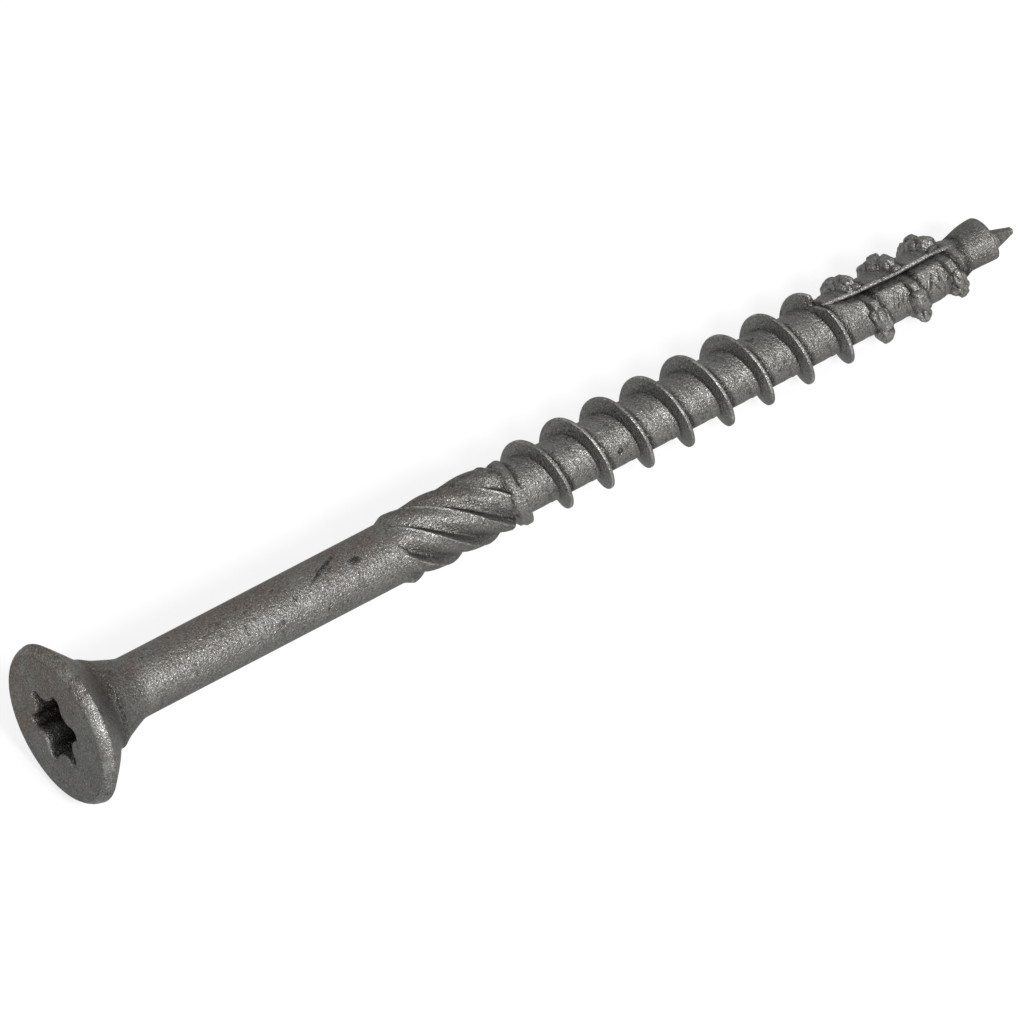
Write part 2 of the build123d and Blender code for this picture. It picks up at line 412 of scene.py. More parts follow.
def row_place(turn, q, share):
    """Place of each row along the axis: packed round the crests, and even before the thread."""
    start = crest_place(turn)
    end = crest_place(turn + 1.0)
    middle = (start + end) / 2.0
    past = start + row_offset(turn, q, middle - start)
    before = end - row_offset(turn + 1.0, q, end - middle, True)
    even = start + (end - start) * share
    return even + (np.where(q >= 0, past, before) - even) * ease(turn, -1.1, -0.35)


def bladed_radius(turn, q, z, sizes):
    """Radius of the core with the thread's blade and the swelling of its last turn, and the painted shade on
    that swelling.
    """
    core, full, notched = sizes
    owner = np.where(q >= 0, turn, turn + 1.0)
    bare = core_at(z, core)
    rise = np.maximum(crest_radius(owner, full, notched) - bare, 0.0)
    packed = ease(turn, -1.1, -0.35)
    away = np.abs(z - crest_place(owner))
    broad = np.interp(away, [0.0, 0.45, 0.62, 0.8], [1.0, 1.0, 0.12, 0.0])
    shape = blade(q) * ease(turn, -1.0, -0.5) * packed + broad * (1.0 - packed)
    radius = bare + rise * shape

    # The last turn is a dome that starts well before its crest
    ahead = crest_place(turn + 1.0) - z
    reach = np.interp(turn, [10.6, 10.75, 11.0], [1.9, 2.15, 2.5])
    domed = ease(turn, 10.45, 10.72)
    dome = np.clip(1.0 - (ahead / reach) ** 2, 0.0, 1.0) ** 0.54 * domed * (ahead > -1e-6)
    next_rise = np.maximum(crest_radius(turn + 1.0, full, notched) - bare, 0.0)
    shade_steps = [0.0, 0.3, 0.84, 0.92, 1.06, 1.15]
    shade = np.interp(ahead / reach, shade_steps, [0.2, 0.45, 0.5, 1.0, 1.0, 0.0]) * domed
    return np.maximum(radius, bare + next_rise * dome), shade


def blade_marks(q, owner):
    """Painted highlight on the edges of the blade, partly real rubbing, and the painted shadow and shade
    beside it.
    """
    crest = np.interp(q, [-1.08, -1.0, -0.7, 0.0, 0.7, 1.0], [0.0, 0.9, 0.8, 0.2, 0.15, 0.0])
    edge = np.interp(q, [0.0, 0.7, 1.0, 1.08], [0.0, 0.4, 1.0, 0.0])
    wear_and_highlight = crest * ease(owner, 0.3, 0.8) * (1.0 - ease(owner, 8.35, 8.6))
    wear_and_highlight = wear_and_highlight + 0.8 * edge * ease(owner, 11.5, 11.6) * (owner < 12.1)
    past = np.interp(q, [1.2, 1.5, 2.75, 3.25], [0.0, 1.0, 1.0, 0.0])
    rows_before = [-3.75, -3.38, -3.28, -2.35, -2.0, -1.7, -1.0]
    before = np.interp(q, rows_before, [0.0, 0.5, 0.1, 0.1, 0.7, 0.3, 0.15])
    shade = (past + before) * ease(owner, 0.4, 1.0) * (1.0 - ease(owner, 11.2, 11.6))
    return wear_and_highlight, shade


def helical_rows(sizes):
    """Points of the ribs, the thread and the point, as columns by rows, with their painted highlight and
    rubbing, and their painted shade.
    """
    shank, core, full, notched, lip, floor = sizes
    phase = (RIB_ANGLE + 360.0 * (RIB_LAST - RIB_FIRST) / RIB_LEAD) / 360.0 % 1.0
    column = np.arange(COLUMNS)[:, None]
    row = np.arange(SKIN_TURNS * ROWS_PER_TURN + 1)[None, :]
    turn = SKIN_FIRST + phase + row // ROWS_PER_TURN + column / COLUMNS
    q = np.broadcast_to(np.array(ROWS)[row % ROWS_PER_TURN], turn.shape)
    share = (row % ROWS_PER_TURN) / ROWS_PER_TURN
    owner = np.where(q >= 0, turn, turn + 1.0)
    z = row_place(turn, q, share)

    # Columns gather at the lips of the ribs
    past_lip = RIB_STEPS[column % len(RIB_STEPS)]
    gathered = RIB_SPACING * (column // len(RIB_STEPS)) + past_lip
    ribbed = ease(z, 25.0, 27.6) * (1.0 - ease(z, 37.1, 39.2))
    twist = 360.0 / RIB_LEAD * (np.clip(z, RIB_FIRST, RIB_LAST) - RIB_FIRST)
    angle = RIB_ANGLE + twist + 360.0 * column / COLUMNS * (1 - ribbed) + gathered * ribbed

    # The ribs rise from the shank and end where the thread begins
    section = rib_section(past_lip, lip) - shank
    raised = np.maximum(section, 0.0) * ease(z, 27.7, 28.5)
    hollowed = np.minimum(section, 0.0) * ease(z, 27.95, 28.25)
    radius = shank + raised + hollowed
    threaded, dome_shade = bladed_radius(turn, q, z, (core, full, notched))
    ending = ease(z, 36.55, 36.95)
    radius = radius + (threaded - radius) * ending

    # The ring before the thread lies on the side of the camera
    face = (angle + 180.0) % 360.0 - 180.0
    from_ring = z - (RING_PLACE - 0.003 * face)
    ring = ease(face, -118.0, -58.0) * (1.0 - ease(face, 25.0, 60.0))
    swell = np.clip(1.0 - (from_ring / np.where(from_ring < 0.0, 0.72, 0.5)) ** 2, 0.0, 1.0) ** 0.7
    radius = np.where(swell * ring > 0.0, np.maximum(radius, core + RING_RISE * ring * swell), radius)

    # Painted highlight and rubbing on edges, and painted shade in the valleys, along the ring and beside the
    # blade
    wear_and_highlight, shade = blade_marks(q, owner)
    on_ribs = 1.0 - ending
    lips = np.clip(1.0 - np.minimum(np.abs(past_lip - 0.5), RIB_SPACING + 0.5 - past_lip) / 2.6, 0, 1)
    # The lips of the ribs get a painted highlight
    wear_and_highlight = np.maximum(wear_and_highlight, lips * ease(z, 28.0, 28.6) * on_ribs)
    on_ribs = ease(z, 28.0, 29.0) * on_ribs
    for other in (
        dome_shade,
        np.interp(past_lip, [38.0, 44.0, 50.0, 54.0], [0.0, 0.5, 0.7, 0.0]) * on_ribs,
        0.9 * ring * np.exp(-(((from_ring + 0.56) / 0.14) ** 2)),
        0.6 * ring * np.exp(-(((from_ring - 0.58) / 0.16) ** 2)),
        0.2 * on_ribs * (1.0 - lips),
    ):
        shade = np.maximum(shade, other)

    # The blade is lower between the teeth, which are lumps of their own
    toothed = ease(owner, 8.35, 8.6) * (1.0 - ease(owner, 11.3, 11.5))
    cleft = np.maximum(crest_radius(owner, full, notched) - CLEFT_DEPTH * toothed, core_at(z, core))
    radius = np.where(toothed > 0, np.minimum(radius, cleft), radius)

    shifted, radius, near = cut_notch(angle, radius, z, floor)
    z = np.where(near, row_place(turn + shifted / 360.0, q, share), z)
    return angle + shifted, radius, z, wear_and_highlight, shade


ACROSS_LOBES = 5.6
ACROSS_FLATS = 3.95
LOBE_TIP = 0.46
LOBE_ANGLE = 24.0


def recess_outline(grow):
    """Outline of the six-lobe recess grown outwards, one point for each column."""
    centre, flat_half = ACROSS_LOBES / 2 - LOBE_TIP, ACROSS_FLATS / 2
    reach = centre * math.cos(math.radians(30))
    spare = 2 * (flat_half - reach - LOBE_TIP)
    hollow = (LOBE_TIP**2 - centre**2 - flat_half**2 + 2 * reach * flat_half) / spare
    lobe = np.array((reach, centre * math.sin(math.radians(30))))
    across = np.array((flat_half + hollow, 0.0))
    way = (lobe - across) / np.linalg.norm(lobe - across)
    meet = math.atan2(way[1], way[0])

    # From the middle of the hollow to the tip of the lobe: hollow arc, then tip arc
    r_hollow, r_tip = hollow - grow, LOBE_TIP + grow
    length_hollow = r_hollow * abs(math.pi - meet)
    length_tip = r_tip * abs(math.radians(30) - (meet - math.pi))
    angle = RIB_ANGLE + 360.0 * np.arange(COLUMNS) / COLUMNS
    from_tip = (angle - LOBE_ANGLE + 30.0) % 60.0 - 30.0
    lobe_number = np.round((angle - LOBE_ANGLE - from_tip) / 60.0)
    s = (1.0 - np.abs(from_tip) / 30.0) * (length_hollow + length_tip)
    on_hollow = s < length_hollow
    a = np.where(on_hollow, math.pi - s / r_hollow, meet - math.pi + (s - length_hollow) / r_tip)
    x = np.where(on_hollow, across[0] + r_hollow * np.cos(a), lobe[0] + r_tip * np.cos(a))
    y = np.where(on_hollow, across[1] + r_hollow * np.sin(a), lobe[1] + r_tip * np.sin(a))
    part = 30.0 - np.degrees(np.arctan2(y, x))
    return LOBE_ANGLE + 60.0 * lobe_number + np.sign(from_tip) * part, np.hypot(x, y)


# Recess: rings of its floor cone, and the depths of its wall's rings with how far each is grown outwards
RECESS_DEPTH = 3.0
FLOOR_DEPTH = 0.6
FLOOR_RADIUS = 1.9
FLOOR_SHARES = (0.12, 0.35, 0.6, 0.8, 0.93)
MOUTH_FLARE = 0.19
RECESS_WALL = [
    (3.0, -0.05), (2.95, 0.0), (2.6, 0.0), (2.1, 0.005), (1.5, 0.01), (0.95, 0.015), (0.6, 0.02), (0.3, 0.03),
    (0.16, 0.05), (0.08, 0.08), (0.02, 0.13), (0.0, MOUTH_FLARE),
]
FACE_SHARES = (0.06, 0.2, 0.4, 0.6, 0.8, 0.972, 1.0)

# Rim: an arc between two angles
RIM_STEPS = 13
RIM_FIRST_ANGLE = math.radians(30.0)
RIM_SWEEP = math.radians(58.0)
FACE_EDGE = 0.52

# Cone, collar, neck and the start of the shank, as places along the axis and radii
CONE_AND_NECK = [
    (1.3, 5.5), (1.6, 5.19), (1.9, 4.87), (2.2, 4.56), (2.5, 4.24), (2.75, 3.98), (2.95, 3.78), (3.1, 3.64),
    (3.25, 3.55), (3.42, 3.47), (3.58, 3.4), (3.74, 3.32), (3.88, 3.23), (4.02, 3.14), (4.2, 3.04),
    (4.45, 2.91), (4.8, 2.76), (5.2, 2.59), (5.6, 2.43), (5.9, 2.32), (6.1, 2.26), (6.4, 2.235),
]
SHANK_PLACES = [7.0, 9.0, 11.0, 13.0, 15.0, 17.0, 19.0, 21.0]


def head_rows(sizes):
    """Rings from the recess's floor over the face, rim, cone and neck to the plain shank."""
    head, shank = sizes
    even = RIB_ANGLE + 360.0 * np.arange(COLUMNS) / COLUMNS
    rings = []

    def add(angle, radius, z):
        rings.append((angle, np.broadcast_to(radius, even.shape), np.full(COLUMNS, float(z))))

    outline_angle, outline_radius = recess_outline(0.0)
    for share in FLOOR_SHARES:
        blend = float(ease(share, 0.5, 1.0))
        angle = even + (outline_angle - even) * blend
        radius = FLOOR_RADIUS * share + (outline_radius - FLOOR_RADIUS) * share * blend
        add(angle, radius, RECESS_DEPTH + FLOOR_DEPTH * (1.0 - share / FLOOR_SHARES[-1]))
    for depth, grow in RECESS_WALL:
        add(*recess_outline(grow), depth)
    mouth_angle, mouth_radius = recess_outline(MOUTH_FLARE)
    edge = head - FACE_EDGE
    for share in FACE_SHARES:
        blend = float(ease(share, 0.0, 1.0))
        add(mouth_angle + (even - mouth_angle) * blend, mouth_radius + (edge - mouth_radius) * share, 0.0)
    for angle in np.linspace(RIM_FIRST_ANGLE, RIM_FIRST_ANGLE + RIM_SWEEP, RIM_STEPS):
        out = 0.95 * (math.sin(angle) - math.sin(RIM_FIRST_ANGLE))
        back = 0.97 * (math.cos(RIM_FIRST_ANGLE) - math.cos(angle))
        add(even, edge + 0.015 + out, 0.008 + back)
    rim_end = [(0.86, head), (0.89, head - 0.02), (1.1, head - 0.22)]
    for z, radius in rim_end + CONE_AND_NECK + [(z, shank) for z in SHANK_PLACES]:
        add(even, radius, z)
    return rings


def head_marks(number, z):
    """Painted highlight, partly real rubbing, on the rim and the recess's upper walls, and painted shade of
    the recess, the face, the rim and the cone on one ring of the head.
    """
    rings = [8, 9, 13, 15, 16, 25, 26, 34, 36]
    # Painted highlight on the recess's upper walls and on the rim's arc
    wear_and_highlight = np.interp(number, rings, [0.0, 0.2, 0.45, 0.4, 0.0, 0.0, 0.25, 0.25, 0.0])
    cone = np.interp(z, [1.2, 1.7, 3.3, 5.2, 6.4], [0.0, 0.38, 0.42, 0.24, 0.0]) * (number > 35)
    rings = [12, 15, 16, 17, 20, 22, 23, 24, 25]
    face = np.interp(number, rings, [0.3, 0.1, 0.35, 0.18, 0.1, 0.12, 0.4, 0.3, 0.0])
    return np.c_[np.full(COLUMNS, wear_and_highlight), np.maximum(cone, face)]


# The head's centre and the recess's are a little off the shank's axis, upwards and sideways
HEAD_OFFSET = (-0.09, 0.095)
RECESS_OFFSET = (-0.22, -0.08)


def place_points(angle, radius, z):
    """Points in metres. The head, and the recess in it, sit a little off the shank's axis."""
    head = 1.0 - ease(z, 1.0, 6.0)
    recess = (1.0 - ease(radius, 3.4, 4.9)) * (z < 3.7)
    a = np.radians(angle)
    x = radius * np.cos(a) + HEAD_OFFSET[0] * head + RECESS_OFFSET[0] * recess
    y = radius * np.sin(a) + HEAD_OFFSET[1] * head + RECESS_OFFSET[1] * recess
    return 1e-3 * (z[..., None] * AXIS + x[..., None] * UPWARD + y[..., None] * SIDEWAYS)


def axis_point(z):
    return place_points(np.zeros(1), np.zeros(1), np.array([z]))


def body_mesh(body):
    """One closed skin over the whole screw."""
    radii = [body.shank_radius, body.core_radius, body.thread_radius, body.notched_radius]
    radii += [body.lip_radius, body.notch_floor]
    rings = head_rows((1e3 * body.head_radius, 1e3 * body.shank_radius))
    angle, radius, z, wear_and_highlight, shade = helical_rows([1e3 * r for r in radii])
    rows = angle.shape[1]
    points = [axis_point(RECESS_DEPTH + FLOOR_DEPTH)]
    marks = [np.zeros((1, 2))]
    for number, ring in enumerate(rings):
        points.append(place_points(*ring))
        marks.append(head_marks(number, ring[2]))
    points.append(place_points(angle.T.ravel(), radius.T.ravel(), z.T.ravel()))
    marks.append(np.c_[wear_and_highlight.T.ravel(), shade.T.ravel()])
    points.append(axis_point(TIP_PLACE))
    marks.append(np.zeros((1, 2)))
    points, marks = np.vstack(points), np.vstack(marks)
    return points, body_faces(len(rings), rows, len(points) - 1), marks


def body_faces(ring_count, rows, tip):
    """Faces of the body: the head's rings, then one strip wound round to the tip."""
    start = 1 + ring_count * COLUMNS

    def ring(number, column):
        return 1 + number * COLUMNS + column % COLUMNS

    def spot(column, row):
        if column == COLUMNS:
            return start + (row + ROWS_PER_TURN) * COLUMNS
        return start + row * COLUMNS + column

    faces = [(0, ring(0, c + 1), ring(0, c)) for c in range(COLUMNS)]
    for n in range(ring_count - 1):
        faces += [(ring(n, c), ring(n, c + 1), ring(n + 1, c + 1), ring(n + 1, c)) for c in range(COLUMNS)]
    n = ring_count - 1
    faces += [(ring(n, c), ring(n, c + 1), spot(c + 1, 0), spot(c, 0)) for c in range(COLUMNS - 1)]
    seam = [spot(0, r) for r in range(ROWS_PER_TURN + 1)]
    faces.append(tuple([ring(n, COLUMNS - 1), ring(n, 0)] + seam + [spot(COLUMNS - 1, 0)]))
    for r in range(rows - 1):
        last = COLUMNS if r + 1 + ROWS_PER_TURN < rows else COLUMNS - 1
        faces += [(spot(c, r), spot(c + 1, r), spot(c + 1, r + 1), spot(c, r + 1)) for c in range(last)]
    end = rows - 1
    faces += [(spot(c, end), spot(c + 1, end), tip) for c in range(COLUMNS - 1)]
    for r in range(end - ROWS_PER_TURN, end):
        faces.append((spot(COLUMNS - 1, r), tip, spot(COLUMNS - 1, r + 1)))
    faces.append((spot(COLUMNS - 1, end - ROWS_PER_TURN), spot(0, end), tip))
    return faces


TOOTH_FOOT = 1.4


def round_ball():
    """Points and faces of a ball of radius 1."""
    ball = bmesh.new()
    bmesh.ops.create_icosphere(ball, subdivisions=4, radius=1.0)
    points = np.array([v.co for v in ball.verts])
    faces = [[v.index for v in f.verts] for f in ball.faces]
    ball.free()
    return points, faces


def tooth_points(sphere, number, left, right, leaning, limit):
    """One ragged lump between two clefts, with a painted highlight on its bulges and painted shade in its
    hollows.
    """
    square = np.sign(sphere) * np.abs(sphere) ** 0.72
    middle = (left + right) / 720.0 + 0.02 * leaning
    top = min(float(crest_radius(middle, limit + 0.1, limit)), limit) + 0.02 * math.sin(5.1 * number)
    top = top - 0.42 * leaning
    lift = square[:, 1] * (top - TOOTH_FOOT) / 2.0 + (top + TOOTH_FOOT) / 2.0
    share = np.clip((lift - 1.85) / (top - 1.85), 0.0, 1.0)
    broad = 1.25 if right - left > 40 else 1.0
    thick = broad * (0.56 - 0.2 * share) * (1.0 + 0.14 * math.sin(2.3 * number))
    around = square[:, 0] * ((right - left) / 2.0 + 2.0) * (1.0 - 0.22 * share**2)
    turn = middle + around / 360.0
    coarse = [noise.noise(Vector(p * 1.6 + 7.3 * number)) for p in sphere]
    fine = [noise.noise(Vector(p * 3.4 + 3.1 * number)) for p in sphere]
    bulge = 0.2 * np.array(coarse) + 0.07 * np.array(fine)
    lift = lift + bulge * (0.35 + 0.65 * share) * 0.75 * np.where(sphere[:, 1] > 0, 1.0, 0.3)
    along = square[:, 2] * thick + bulge * sphere[:, 2] - 0.2 * leaning
    place = place_points(360.0 * turn, np.minimum(lift, limit + 0.05), crest_place(turn) + along)
    # Bulges get a painted highlight and hollows get painted shade
    return place, np.c_[0.55 * ease(bulge, 0.05, 0.14), 0.9 * ease(-bulge, 0.02, 0.12)]


def tooth_mesh(body):
    """The teeth of the last turns: ragged lumps of squeezed metal on the blade, each a closed skin."""
    sphere, corners = round_ball()
    pairs = [(a, b) for a, b in zip(TOOTH_EDGES, TOOTH_EDGES[1:]) if not 324 < (a + b) / 2 % 360 < 356]

    # A smaller lump leans on the head's side of each tooth before the notch
    low_pairs = [(a, b) for a, b in pairs if 245 < (a + b) / 2 % 360 < 300]
    points, faces, marks = [], [], []
    for number, (left, right) in enumerate(pairs + low_pairs):
        leaning = number >= len(pairs)
        place, mark = tooth_points(sphere, number, left, right, leaning, 1e3 * body.notched_radius)
        start = number * len(sphere)
        points.append(place)
        marks.append(mark)
        faces += [[start + i for i in corner] for corner in corners]
    place, corners = lip_bead(len(points) * len(sphere), 1e3 * body.core_radius)
    points.append(place)
    # The lip's bead carries a painted highlight along its length
    marks.append(np.tile((LIP_HIGHLIGHT, 0.0), (len(place), 1)))
    return np.vstack(points), faces + corners, np.vstack(marks)


LIP_SIDES = 12
LIP_STEPS = 90
# Painted highlight along the notch's lip
LIP_HIGHLIGHT = 0.4


def lip_bead(start, core):
    """The rolled lip along the cutting notch, as a thin closed bead half sunk in the body."""
    z = np.linspace(63.7, 75.3, LIP_STEPS)
    lip = np.interp(z, LIP_PLACES, LIP_ANGLES) - 0.8
    lip = np.convolve(np.pad(lip, 4, mode="edge"), np.ones(9) / 9.0, mode="valid")
    size = 0.15 * ease(z, 63.6, 65.0) * (1.0 - 0.7 * ease(z, 74.0, 75.3)) + 0.03
    centre = core_at(z, core) - 0.06
    a = 2.0 * math.pi * np.arange(LIP_SIDES) / LIP_SIDES
    radius = centre[:, None] + size[:, None] * np.cos(a)[None, :]
    angle = lip[:, None] + np.degrees(size[:, None] * np.sin(a)[None, :] / centre[:, None])
    points = place_points(angle.ravel(), radius.ravel(), np.repeat(z, LIP_SIDES))
    faces = []
    for n in range(LIP_STEPS - 1):
        for k in range(LIP_SIDES):
            near = start + n * LIP_SIDES + k
            far = start + n * LIP_SIDES + (k + 1) % LIP_SIDES
            faces.append((near, far, far + LIP_SIDES, near + LIP_SIDES))
    faces.append(tuple(start + k for k in reversed(range(LIP_SIDES))))
    faces.append(tuple(start + (LIP_STEPS - 1) * LIP_SIDES + k for k in range(LIP_SIDES)))
    return points, faces


# Finish


def new_group(name, inputs, outputs):
    group = bpy.data.node_groups.new(name, "ShaderNodeTree")
    for label, kind, value in inputs:
        socket = group.interface.new_socket(name=label, in_out="INPUT", socket_type=kind)
        if value is not None:
            socket.default_value = value
    for label, kind in outputs:
        group.interface.new_socket(name=label, in_out="OUTPUT", socket_type=kind)
    return group, group.nodes.new("NodeGroupInput"), group.nodes.new("NodeGroupOutput")


def node(tree, kind, **values):
    made = tree.nodes.new(kind)
    for name, value in values.items():
        setattr(made, name, value)
    return made


def math_node(tree, operation, first, second=None, third=None, clamp=False):
    made = node(tree, "ShaderNodeMath", operation=operation, use_clamp=clamp)
    for number, value in enumerate((first, second, third)):
        if value is None:
            continue
        if isinstance(value, (int, float)):
            made.inputs[number].default_value = value
        else:
            tree.links.new(value, made.inputs[number])
    return made.outputs[0]


def ramp(tree, value, low, high):
    made = node(tree, "ShaderNodeMapRange", interpolation_type="SMOOTHSTEP")
    tree.links.new(value, made.inputs["Value"])
    made.inputs["From Min"].default_value = low
    made.inputs["From Max"].default_value = high
    return made.outputs["Result"]


def mix(tree, share, first, second):
    made = node(tree, "ShaderNodeMix", data_type="RGBA")
    for name, value in (("Factor", share), ("A", first), ("B", second)):
        socket = next(s for s in made.inputs if s.name == name and s.enabled)
        if isinstance(value, bpy.types.NodeSocket):
            tree.links.new(value, socket)
        elif name == "Factor":
            socket.default_value = value
        else:
            socket.default_value = (*value, 1.0)
    return next(s for s in made.outputs if s.enabled)


def grain_group():
    """Grains of the coating: a height for the bump, and masks of its bright and dark specks."""
    tree, given, put = new_group(
        "Coating grain",
        [("Place", "NodeSocketVector", None), ("Size", "NodeSocketFloat", 0.00016)],
        [("Height", "NodeSocketFloat"), ("Speckle", "NodeSocketFloat"), ("Pores", "NodeSocketFloat")],
    )
    scale = math_node(tree, "DIVIDE", 1.0, given.outputs["Size"])
    fine = node(tree, "ShaderNodeTexNoise", noise_dimensions="3D")
    tree.links.new(given.outputs["Place"], fine.inputs["Vector"])
    tree.links.new(scale, fine.inputs["Scale"])
    fine.inputs["Detail"].default_value = 2.0
    fine.inputs["Roughness"].default_value = 0.55
    fine.inputs["Distortion"].default_value = 0.6
    cells = node(tree, "ShaderNodeTexVoronoi", feature="SMOOTH_F1")
    tree.links.new(given.outputs["Place"], cells.inputs["Vector"])
    tree.links.new(math_node(tree, "MULTIPLY", scale, 0.8), cells.inputs["Scale"])
    broad = node(tree, "ShaderNodeTexNoise", noise_dimensions="3D")
    tree.links.new(given.outputs["Place"], broad.inputs["Vector"])
    tree.links.new(math_node(tree, "MULTIPLY", scale, 0.25), broad.inputs["Scale"])
    broad.inputs["Detail"].default_value = 2.0
    pitted = math_node(tree, "MULTIPLY", cells.outputs["Distance"], 0.35)
    height = math_node(tree, "ADD", fine.outputs["Fac"], pitted)
    height = math_node(tree, "ADD", height, math_node(tree, "MULTIPLY", broad.outputs["Fac"], 0.9))
    tree.links.new(height, put.inputs["Height"])
    tree.links.new(ramp(tree, fine.outputs["Fac"], 0.5, 0.68), put.inputs["Speckle"])
    tree.links.new(ramp(tree, fine.outputs["Fac"], 0.46, 0.3), put.inputs["Pores"])
    return tree


def stain_group():
    """Broad clouds and small dark spots on the coating."""
    tree, given, put = new_group(
        "Coating stains",
        [("Place", "NodeSocketVector", None)],
        [("Clouds", "NodeSocketFloat"), ("Spots", "NodeSocketFloat")],
    )
    clouds = node(tree, "ShaderNodeTexNoise", noise_dimensions="3D")
    tree.links.new(given.outputs["Place"], clouds.inputs["Vector"])
    clouds.inputs["Scale"].default_value = 420.0
    clouds.inputs["Detail"].default_value = 5.0
    clouds.inputs["Roughness"].default_value = 0.6
    spots = node(tree, "ShaderNodeTexNoise", noise_dimensions="3D")
    tree.links.new(given.outputs["Place"], spots.inputs["Vector"])
    spots.inputs["Scale"].default_value = 1300.0
    spots.inputs["Detail"].default_value = 3.0
    tree.links.new(ramp(tree, clouds.outputs["Fac"], 0.36, 0.66), put.inputs["Clouds"])
    tree.links.new(ramp(tree, spots.outputs["Fac"], 0.62, 0.72), put.inputs["Spots"])
    return tree


# Handling marks: place along the axis, angle, slant from the axis, length, width, darkness, depth
MARKS = [
    # Streak and spots on the shank
    (22.0, -32, -24, 2.2, 0.2, 0.95, 0.3),
    (24.3, -18, 0, 0.6, 0.38, 0.95, 0.3),
    (17.4, 22, 15, 0.5, 0.25, 0.35, 0.15),
    (13.2, -30, 40, 0.7, 0.2, 0.3, 0.1),
    (10.2, 30, 60, 0.5, 0.2, 0.3, 0.15),
    # Dents on the ribs and beside the thread
    (27.7, 2, 60, 0.45, 0.16, 0.5, -0.5),
    (33.7, -14, 20, 0.6, 0.45, 0.85, 0.7),
    (45.7, 33, 0, 0.24, 0.24, 0.95, 1.8),
    # Spots on the head's cone and rim
    (3.2, -8, 60, 0.35, 0.2, 0.6, 0.4),
    (0.8, -23, 0, 0.3, 0.3, 0.5, 0.4),
    (0.7, -12, 30, 0.25, 0.22, 0.45, 0.4),
    (0.9, 12, 80, 0.3, 0.2, 0.4, 0.3),
    # Scratches and folds below the cutting notch
    (68.85, 22, 106, 1.2, 0.05, 0.55, 0.8),
    (69.2, 24, 106, 1.3, 0.055, 0.65, 0.9),
    (69.03, 23, 106, 1.2, 0.045, -0.35, -0.6),
    (69.55, 26, 107, 1.2, 0.05, 0.55, 0.8),
    (69.38, 25, 106, 1.2, 0.045, -0.35, -0.6),
    (69.9, 26, 110, 0.8, 0.05, 0.45, 0.6),
    (72.0, 18, 112, 1.0, 0.11, 0.95, 1.8),
    (71.78, 18, 112, 0.9, 0.065, -0.9, -0.9),
    (72.7, 14, 100, 0.7, 0.08, 0.6, 1.0),
    (66.9, -2, 65, 0.5, 0.1, 0.4, 0.4),
    (65.1, 16, 100, 1.3, 0.05, 0.35, 0.5),
    (72.4, 34, 60, 0.5, 0.08, 0.6, 0.8),
    (70.4, 44, 120, 0.5, 0.07, 0.6, 0.8),
    (75.3, -8, 88, 1.5, 0.13, 0.85, 0.9),
    # Faint streaks
    (7.6, -40, 10, 1.0, 0.12, 0.4, 0.15),
    (15.2, -25, -15, 0.9, 0.1, 0.35, 0.15),
    (12.0, 12, 70, 0.35, 0.14, 0.4, 0.2),
    (26.0, 20, 30, 0.7, 0.1, 0.35, 0.2),
]


def squared(tree, value):
    return math_node(tree, "POWER", value, 2.0)


def vector_node(tree, operation, first, second=None):
    made = node(tree, "ShaderNodeVectorMath", operation=operation)
    tree.links.new(first, made.inputs[0])
    if isinstance(second, bpy.types.NodeSocket):
        tree.links.new(second, made.inputs[1])
    elif second is not None:
        made.inputs[1].default_value = second
    return made.outputs["Value"] if operation in ("DOT_PRODUCT", "LENGTH") else made.outputs["Vector"]


def mark_group():
    """A soft-edged streak or spot round a centre."""
    tree, given, put = new_group(
        "Handling mark",
        [
            ("Place", "NodeSocketVector", None),
            ("Centre", "NodeSocketVector", None),
            ("Way", "NodeSocketVector", None),
            ("Length", "NodeSocketFloat", 0.001),
            ("Width", "NodeSocketFloat", 0.0002),
        ],
        [("Mask", "NodeSocketFloat")],
    )
    ragged = node(tree, "ShaderNodeTexNoise", noise_dimensions="3D")
    tree.links.new(given.outputs["Place"], ragged.inputs["Vector"])
    ragged.inputs["Scale"].default_value = 2500.0
    away = vector_node(tree, "SUBTRACT", given.outputs["Place"], given.outputs["Centre"])
    along = vector_node(tree, "DOT_PRODUCT", away, given.outputs["Way"])
    far = vector_node(tree, "LENGTH", away)
    across = math_node(tree, "SUBTRACT", squared(tree, far), squared(tree, along))
    across = math_node(tree, "SQRT", math_node(tree, "MAXIMUM", across, 0.0))
    across = math_node(tree, "DIVIDE", across, given.outputs["Width"])
    reach = math_node(tree, "DIVIDE", math_node(tree, "ABSOLUTE", along), given.outputs["Length"])
    whole = math_node(tree, "SQRT", math_node(tree, "ADD", squared(tree, reach), squared(tree, across)))
    fray = math_node(tree, "MULTIPLY", math_node(tree, "SUBTRACT", ragged.outputs["Fac"], 0.5), 0.9)
    tree.links.new(ramp(tree, math_node(tree, "ADD", whole, fray), 1.1, 0.4), put.inputs["Mask"])
    return tree


